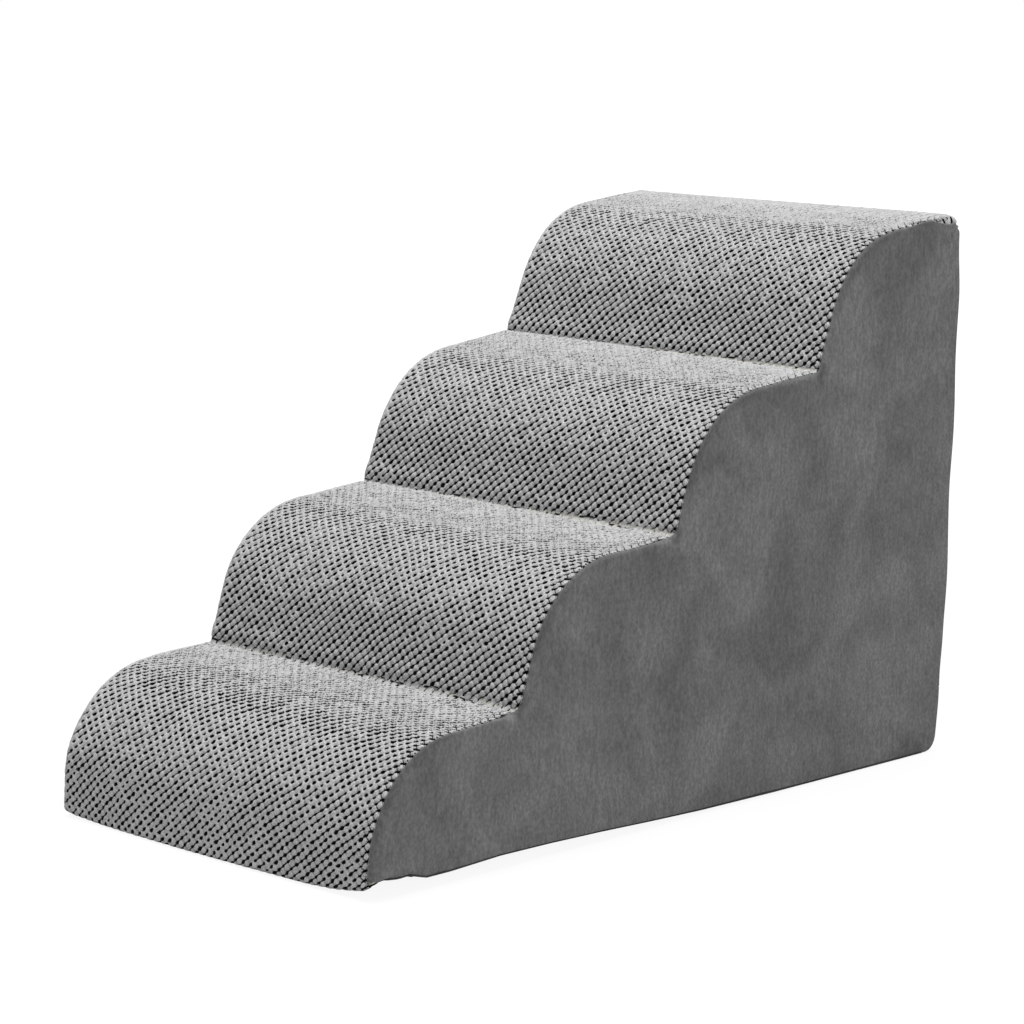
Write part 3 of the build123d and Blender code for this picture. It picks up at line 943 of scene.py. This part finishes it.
def bent_over(q, s, flat_half, radius, height):
    """Points of the strip over the steps, bent round at both rims."""
    y, z, ny, nz = OUTER.at(s)
    turn = np.clip(-(flat_half - np.abs(q)) / radius, 0, CURL_TURN)
    x = np.sign(q) * (np.minimum(np.abs(q), flat_half) + np.sin(turn) * (radius + height))
    outwards = np.cos(turn) * (radius + height) - radius + fold(s, x)
    return np.stack([x, y + ny * outwards, z + nz * outwards], 2)


# Plates: flat closed pieces with a rounded rim, cut to any outline. A filling is the spacing of the
# points scattered inside the rim, and their seed.

RIM_RINGS = 5
SCATTER_SHARE = 0.18
CLEAR_SHARE = 0.6
CAP_TOLERANCE = 1e-7


def cap(rim, spacing, seed):
    """Points and triangles that fill a rim, with scattered points inside it."""
    low, high = rim.min(0), rim.max(0)
    columns, rows = (np.arange(low[k] + spacing / 2, high[k], spacing) for k in (0, 1))
    u, v = np.meshgrid(columns, rows)
    scatter = np.random.default_rng(seed).uniform(-SCATTER_SHARE, SCATTER_SHARE, (u.size, 2))
    inner = np.stack([u.ravel(), v.ravel()], 1) + scatter * spacing
    tree = tree_of(rim)
    inner = [p for p in inner if tree.find((*p, 0))[2] > CLEAR_SHARE * spacing]
    places = [Vector(p) for p in rim] + [Vector(p) for p in inner]
    filled = delaunay_2d_cdt(places, [], [list(range(len(rim)))], 1, CAP_TOLERANCE)
    return filled[0], filled[2]


def plate(outline, thickness, rim, filling):
    """Points (u, v, depth) and faces of a plate. depth runs inwards from its outer face, and
    rim is the radius of its outer edge, one for all or one for each point."""
    outline = np.asarray(outline, float)
    rim = np.broadcast_to(rim, len(outline))
    after = np.roll(outline, -1, 0)
    direction = after - np.roll(outline, 1, 0)
    direction /= np.hypot(*direction.T)[:, None]
    area = np.sum(outline[:, 0] * after[:, 1] - after[:, 0] * outline[:, 1]) / 2
    inwards = np.stack([-direction[:, 1], direction[:, 0]], 1) * (1 if area > 0 else -1)
    if area < 0:
        outline, inwards, rim = outline[::-1], inwards[::-1], rim[::-1]
    rings = []
    for turn in np.linspace(0, pi / 2, RIM_RINGS):
        ring = outline + inwards * (rim * (1 - cos(turn)))[:, None]
        rings.append(np.column_stack([ring, rim * (1 - sin(turn))]))
    cap_points, cap_faces = cap(rings[-1][:, :2], *filling)
    count = len(outline)
    points = [tuple(p) for ring in rings[:-1] for p in ring]
    top = len(points)
    points += [(p.x, p.y, 0.0) for p in cap_points]
    faces = [tuple(top + k for k in face) for face in cap_faces]
    for ring in range(RIM_RINGS - 1):
        faces += band(ring * count, (ring + 1) * count, count)
    under = len(points)
    points += [(p.x, p.y, thickness) for p in cap_points]
    faces += [tuple(under + k for k in reversed(face)) for face in cap_faces]
    return np.array(points), faces + band(under, 0, count)


LINE_SPACING = 0.004


def line(start, end, spacing):
    """Points from start to end, without the end."""
    start, end = np.array(start, float), np.array(end, float)
    count = max(1, int(np.hypot(*(end - start)) / spacing))
    return [tuple(start + (end - start) * k / count) for k in range(count)]


def path(*corners, spacing=LINE_SPACING):
    """Points along the straight lines between corners, without the last corner."""
    return [point for start, end in zip(corners, corners[1:]) for point in line(start, end, spacing)]


# Side panels

SIDE_RIM_SPACING = 0.003
SIDE_FILLING = (0.004, 3)
LEFT_RIM_RADIUS = 0.0014
SEAM_LAP = 0.0003
LEAST_RIM_RADIUS = 0.0009
SHOULDER_REACH = 0.04
SIDE_WAVE = (0.0010, 0.11, 31)
SIDE_RIPPLE = (0.0005, 0.035, 32)
HEM_WRINKLE = (0.0010, 0.012, 33)
HEM_WRINKLE_HEIGHT = 0.022
HEM_WRINKLE_END = (0.08, 0.16)
PLAIN_RIM = 0.02
SEAM_SHADE = 0.55
SEAM_SHADE_REACH = (0.001, 0.009)
SEAM_SHADE_FOOT = (0.03, 0.06)
SEAM_SHADE_REAR = 0.03

# Creases below the inner corners: the lean and the length of each
PINCHES = ((0.05, 0.008), (0.05, 0.010), (-0.10, 0.018))
PINCH_DEPTH = 0.0012
PINCH_SHADE = 0.8
PINCH_HALF_WIDTH = (0.001, 0.005)
PINCH_TOP = (0, 0.002)
PINCH_END_SHARES = (0.3, 1)


def resampled(outline, spacing):
    """Points along an Outline, evenly spaced."""
    count = int(outline.total / spacing)
    y, z, _, _ = outline.at(np.linspace(0, outline.total, count, endpoint=False))
    return np.stack([y, z], 1)


def edge_room(outline, y, z):
    """How far places in the side view are from the nearest of an Outline's own points, which lie on
    its rounded corners."""
    tree = tree_of(outline.points)
    return np.array([tree.find((a, b, 0))[2] for a, b in zip(y, z)])


def pinches(y, z):
    """The short creases that run down from each inner corner, 0 to 1. They sink the plush and
    get painted shade.
    """
    total = 0
    for step, (lean, length) in enumerate(PINCHES):
        foot_y, foot_z = riser_foot(step + 1)
        down = foot_z - z
        aside = np.abs(y - foot_y - lean * down)
        shaded_crease = fade(*PINCH_HALF_WIDTH, aside) * smooth(*PINCH_TOP, down)
        total = total + shaded_crease * fade(*PINCH_END_SHARES, down / length)
    return np.clip(total, 0, 1)


def side_panel(name, node, side, outline):
    """Plush sewn to the knit's curled edge. side is 1 at the right and -1 at the left."""
    rim_points = resampled(outline, SIDE_RIM_SPACING)
    rim = LEFT_RIM_RADIUS
    if side > 0:
        rim_places, _ = OUTER.places_of(*rim_points.T)
        rim = np.maximum(seam_inset(rim_places) + SEAM_LAP, LEAST_RIM_RADIUS)
    points, faces = plate(rim_points, PLUSH, rim, SIDE_FILLING)
    y, z, depth = points.T
    room = edge_room(outline, y, z)
    if side > 0:
        y, z = under_shoulder(y, z, room)
    swell = wave(y + side, z, *SIDE_WAVE) + wave(y, z + side, *SIDE_RIPPLE)
    wrinkles = wave(y + z, y - 2 * z, *HEM_WRINKLE) * np.exp(-z / HEM_WRINKLE_HEIGHT)
    wrinkles = wrinkles * fade(*HEM_WRINKLE_END, y - FRONT)
    pinch = pinches(y, z)
    x = SIDE_FACE - depth + (swell + wrinkles) * smooth(0, PLAIN_RIM, room) - PINCH_DEPTH * pinch
    faces = faces if side > 0 else flipped(faces)
    piece = cover_piece(name, np.stack([side * x, y, z], 1), faces, "plush", node)
    # Painted shade in a band along the seam with the knit, and in the pinched folds
    by_seam = fade(*SEAM_SHADE_REACH, room) * smooth(*SEAM_SHADE_FOOT, z)
    by_seam = by_seam * (y < BACK - SEAM_SHADE_REAR)
    add_values(piece, "shaded_crease", np.clip(SEAM_SHADE * by_seam + PINCH_SHADE * pinch, 0, 1))


def under_shoulder(y, z, room):
    """The right side drawn in below the knit where the knit rounds the top step's shoulder."""
    places, _ = OUTER.places_of(y, z)
    sunk = (shoulder(places) - SHOULDER_RADII[0]) * fade(0, SHOULDER_REACH, room)
    sunk = sunk * (places < SHOULDER_PLACES[-1])
    _, _, normal_y, normal_z = OUTER.at(places)
    return y - normal_y * sunk, z - normal_z * sunk


# Back panels, parted by the zip's slot

SLOT_CORNER = 0.003
CORNER_POINTS = 6
BACK_SEAM_GAP = 0.0003
BACK_RIM_RADIUS = 0.0012
BACK_CORNER_RADIUS = 0.006
UPPER_FILLING = (0.006, 5)
LOWER_FILLING = (0.005, 6)
BACK_WAVE = (0.0009, 0.10, 41)
BACK_WAVE_START = (0.02, 0.06)


def back_place(across, up, depth):
    """Points on the leaned back: across, up from the zip line, and inwards by depth."""
    y = ZIP_LINE + up * sin(BACK_LEAN) - depth * cos(BACK_LEAN)
    z = ZIP_HEIGHT + up * cos(BACK_LEAN) + depth * sin(BACK_LEAN)
    return np.stack([across, y, z], 1)


def slot_edge():
    """One long edge of the slot as points (across, off the zip line), from left to right."""
    half, rise = ZIP_OPENING / 2, ZIP_SLOT / 2
    left = [(-half, 0.0)]
    for turn in np.linspace(0, pi / 2, CORNER_POINTS):
        left.append((-half + SLOT_CORNER * (1 - cos(turn)), rise - SLOT_CORNER * (1 - sin(turn))))
    middle = [(x, rise) for x in np.arange(-half + 2 * SLOT_CORNER, half - SLOT_CORNER, LINE_SPACING)]
    edge = left + middle + [(-x, up) for x, up in reversed(left)]
    return [(x, max(up, BACK_SEAM_GAP)) for x, up in edge]


def upper_back_panel():
    face, half, gap, corner = SIDE_FACE, ZIP_OPENING / 2, BACK_SEAM_GAP, BACK_CORNER_RADIUS
    top = (HEIGHT - TOP_WRAP - ZIP_HEIGHT) / cos(BACK_LEAN)
    outline = path((face, gap), (face, top - corner))
    for turn in np.linspace(0, pi / 2, CORNER_POINTS)[:-1]:
        outline.append((face - corner * (1 - cos(turn)), top - corner * (1 - sin(turn))))
    outline += path((face - corner, top), (-face, top), (-face, gap), (-half, gap))
    outline += slot_edge() + path((half + SLOT_CORNER, gap), (face, gap))
    points, faces = plate(outline, PLUSH, BACK_RIM_RADIUS, UPPER_FILLING)
    across, up, depth = points.T
    swell = wave(across, up, *BACK_WAVE) * smooth(*BACK_WAVE_START, up)
    points = back_place(across, up, depth - swell)
    cover_piece("plush_back_upper", points, flipped(faces), "plush", "back_panel_upper")


def lower_back_panel():
    """The strip below the zip, which turns under the heel to meet the base."""
    face, half, gap = SIDE_FACE, ZIP_OPENING / 2, BACK_SEAM_GAP
    top = OUTER.nearest(ZIP_LINE, ZIP_HEIGHT)
    reach = OUTER.nearest(BASE_REAR, FLOOR_GAP) - top
    outline = path((face, reach), (face, gap), (half, gap)) + slot_edge()[::-1]
    outline += path((-half - SLOT_CORNER, gap), (-face, gap), (-face, reach), (face, reach))
    points, faces = plate(outline, PLUSH, BACK_RIM_RADIUS, LOWER_FILLING)
    across, down, depth = points.T
    y, z, ny, nz = OUTER.at(top + down)
    points = np.stack([across, y - ny * depth, z - nz * depth], 1)
    cover_piece("plush_back_lower", points, faces, "plush", "back_panel_lower")


# Base panel with its grip dots

BASE_LIP = 0.0002
BASE_RIM_RADIUS = 0.0006
BASE_RIM_SPACING = 0.005
BASE_FILLING = (0.008, 7)
DOT_PITCH = 0.020
DOT_RADIUS = 0.003
DOT_SIDES = 12
DOTS_ACROSS = 19
DOTS_ALONG = 33

# The rings of a dot, from its root in the fabric to its foot: the radius and the height of each
DOT_LEVELS = ((DOT_RADIUS, FLOOR_GAP + 0.0002), (DOT_RADIUS, 0.0005), (DOT_RADIUS * 0.8, 0.0001))


def grip_dots(count):
    """Points and faces of the dots. count is how many points come before theirs."""
    points, faces = [], []
    turns = 2 * pi * np.arange(DOT_SIDES) / DOT_SIDES
    to_foot = (len(DOT_LEVELS) - 1) * DOT_SIDES
    for column, row in np.ndindex(DOTS_ACROSS, DOTS_ALONG):
        x = DOT_PITCH * (column - (DOTS_ACROSS - 1) / 2)
        y = DOT_PITCH * (row - (DOTS_ALONG - 1) / 2)
        for radius, level in DOT_LEVELS:
            ring = (x + radius * np.cos(turns), y + radius * np.sin(turns), np.full(DOT_SIDES, level))
            points.append(np.stack(ring, 1))
        for first in range(count, count + to_foot, DOT_SIDES):
            faces += band(first + DOT_SIDES, first, DOT_SIDES)
        faces.append(tuple(count + to_foot + k for k in reversed(range(DOT_SIDES))))
        faces.append(tuple(count + k for k in range(DOT_SIDES)))
        count += len(DOT_LEVELS) * DOT_SIDES
    return np.concatenate(points), faces


def base_sheet():
    """Dark woven base fabric; its edge shows as a thin line under the sides."""
    half = SIDE_FACE + BASE_LIP
    corners = [(half, BASE_FRONT), (half, BASE_REAR), (-half, BASE_REAR), (-half, BASE_FRONT)]
    outline = path(*corners, corners[0], spacing=BASE_RIM_SPACING)
    points, faces = plate(outline, BASE, BASE_RIM_RADIUS, BASE_FILLING)
    points[:, 2] += FLOOR_GAP
    dot_points, dot_faces = grip_dots(len(points))
    points, faces = np.concatenate([points, dot_points]), flipped(faces) + dot_faces
    cover_piece("grip_base", points, faces, "base_fabric", "base_panel")


# Foam core: the CAD tiers with soft cut edges and an uneven skin, drawn in a little

FOAM_VOXEL = 0.005
FOAM_INSET = 0.0012


def foam_core():
    inset = 1 - FOAM_INSET / np.array([WIDTH / 2, LENGTH / 2, 1])
    for tier in range(1, STEP_COUNT + 1):
        node = frame["nodes"][f"foam_tier_{tier}"]
        piece = bpy.data.objects.new(f"foam_core_{tier}", node.data.copy())
        bpy.context.scene.collection.objects.link(piece)
        remesh = piece.modifiers.new("skin", "REMESH")
        remesh.mode = "VOXEL"
        remesh.voxel_size = FOAM_VOXEL
        bpy.context.view_layer.update()
        evaluated = piece.evaluated_get(bpy.context.evaluated_depsgraph_get())
        mesh = bpy.data.meshes.new_from_object(evaluated)
        piece.modifiers.clear()
        piece.data = mesh
        points = np.empty(len(mesh.vertices) * 3)
        mesh.vertices.foreach_get("co", points)
        mesh.vertices.foreach_set("co", settle(points.reshape(-1, 3) * inset).ravel())
        mesh.shade_smooth()
        mesh.materials.clear()
        mesh.materials.append(MATERIALS["foam"])
        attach(piece, "stairs")
        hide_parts(f"foam_tier_{tier}")


# Hardware that keeps its CAD shape

WORN_NODES = ("zip_slider", "zip_pull", "zip_end_stops", "zip_bottom_stop")
WORN_WIDTH = 0.00022
WORN_SEGMENTS = 3
WORN_ANGLE = radians(40)


def dress_hardware():
    slots = {row["node"]: row["material_slot"] for row in frame["record"]["subparts"]}
    for name, node in frame["nodes"].items():
        node.data.materials.clear()
        node.data.materials.append(MATERIALS[slots[name]])
    for name in WORN_NODES:
        bevel = frame["nodes"][name].modifiers.new("worn edges", "BEVEL")
        bevel.width = WORN_WIDTH
        bevel.segments = WORN_SEGMENTS
        bevel.limit_method = "ANGLE"
        bevel.angle_limit = WORN_ANGLE


# Floor, backdrop, lights and camera

FLOOR_HALF = 12.0
FLOOR_GREY = 0.62
FLOOR_GLOW = 1.14
FLOOR_FADE = (0.9, 2.4)
FLOOR_GLOW_SHARES = (0.80, 1.0)
BACKDROP_LIGHT = 0.35


def floor():
    """A matt floor. The camera sees it glow almost white, all the more further off."""
    material, shade = new_material("floor")
    matt = shade.nodes["Principled BSDF"]
    shade.fill(matt, {"Base Color": grey(FLOOR_GREY), "Roughness": 1.0, "Specular IOR Level": 0.0})
    glow = shade.node("ShaderNodeEmission", {"Color": grey(1.0), "Strength": FLOOR_GLOW})
    away = shade.node("ShaderNodeVectorMath", {0: shade.place()})
    away.operation = "LENGTH"
    far = shade.spread(away.outputs["Value"], *FLOOR_FADE, *FLOOR_GLOW_SHARES)
    rays = shade.nodes.new("ShaderNodeLightPath").outputs
    seen = shade.node("ShaderNodeMixShader", {
        "Fac": shade.times(rays["Is Camera Ray"], far), 1: matt.outputs["BSDF"], 2: glow.outputs["Emission"]
    })
    shade.fill(shade.nodes["Material Output"], {"Surface": seen.outputs["Shader"]})
    corners = [(x * FLOOR_HALF, y * FLOOR_HALF, 0) for x, y in ((-1, -1), (1, -1), (1, 1), (-1, 1))]
    make_object("floor", corners, [(0, 1, 2, 3)], material)


def backdrop():
    """White where it is seen, also in reflections, and dimmer as a light."""
    world = bpy.data.worlds.new("studio")
    world.use_nodes = True
    shade = Shading(world.node_tree)
    rays = shade.nodes.new("ShaderNodeLightPath").outputs
    seen = shade.most(rays["Is Camera Ray"], rays["Is Glossy Ray"], rays["Is Transmission Ray"])
    strength = shade.spread(seen, 0.0, 1.0, BACKDROP_LIGHT, 1.0)
    shade.fill(shade.nodes["Background"], {"Color": grey(1.0), "Strength": strength})
    bpy.context.scene.world = world


# Lights: the place, the width and the power of each
LIGHTS = {"overhead": ((-0.4, 0.2, 6.0), 3.6, 265), "side fill": ((5.0, -0.2, 2.6), 2.8, 66)}
LIGHT_TARGET = (0, 0, 0.2)


def lights():
    for name, (place, width, power) in LIGHTS.items():
        light = bpy.data.lights.new(name, "AREA")
        light.shape = "DISK"
        light.size = width
        light.energy = power
        lamp = bpy.data.objects.new(name, light)
        bpy.context.scene.collection.objects.link(lamp)
        lamp.location = place
        lamp.rotation_euler = (Vector(LIGHT_TARGET) - Vector(place)).to_track_quat("-Z", "Y").to_euler()


CAMERA_PLACE = (2.29845, -2.36637, 0.84059)
CAMERA_YAW = radians(44.358)
CAMERA_PITCH = radians(10.118)
CAMERA_ROLL = radians(0.172)
FOCAL_PIXELS = 3667.2
IMAGE_PIXELS = 1024
SENSOR = 36.0


def camera():
    data = bpy.data.cameras.new("camera")
    data.sensor_width = SENSOR
    data.lens = FOCAL_PIXELS / IMAGE_PIXELS * SENSOR
    level_reach = cos(CAMERA_PITCH)
    back = Vector((sin(CAMERA_YAW) * level_reach, -cos(CAMERA_YAW) * level_reach, sin(CAMERA_PITCH)))
    level = Vector((cos(CAMERA_YAW), sin(CAMERA_YAW), 0))
    upright = back.cross(level)
    right = cos(CAMERA_ROLL) * level + sin(CAMERA_ROLL) * upright
    up = back.cross(right)
    rotation = Matrix((right, up, back)).transposed().to_4x4()
    viewer = bpy.data.objects.new("camera", data)
    bpy.context.scene.collection.objects.link(viewer)
    viewer.matrix_world = Matrix.Translation(CAMERA_PLACE) @ rotation
    bpy.context.scene.camera = viewer


camera()
dress_hardware()
knit_panel()
side_panel("plush_right_side", "right_side_panel", 1, RIGHT_PLUSH)
side_panel("plush_left_side", "left_side_panel", -1, INNER)
upper_back_panel()
lower_back_panel()
base_sheet()
foam_core()
floor()
backdrop()
lights()
bpy.context.scene.view_settings.view_transform = "Standard"
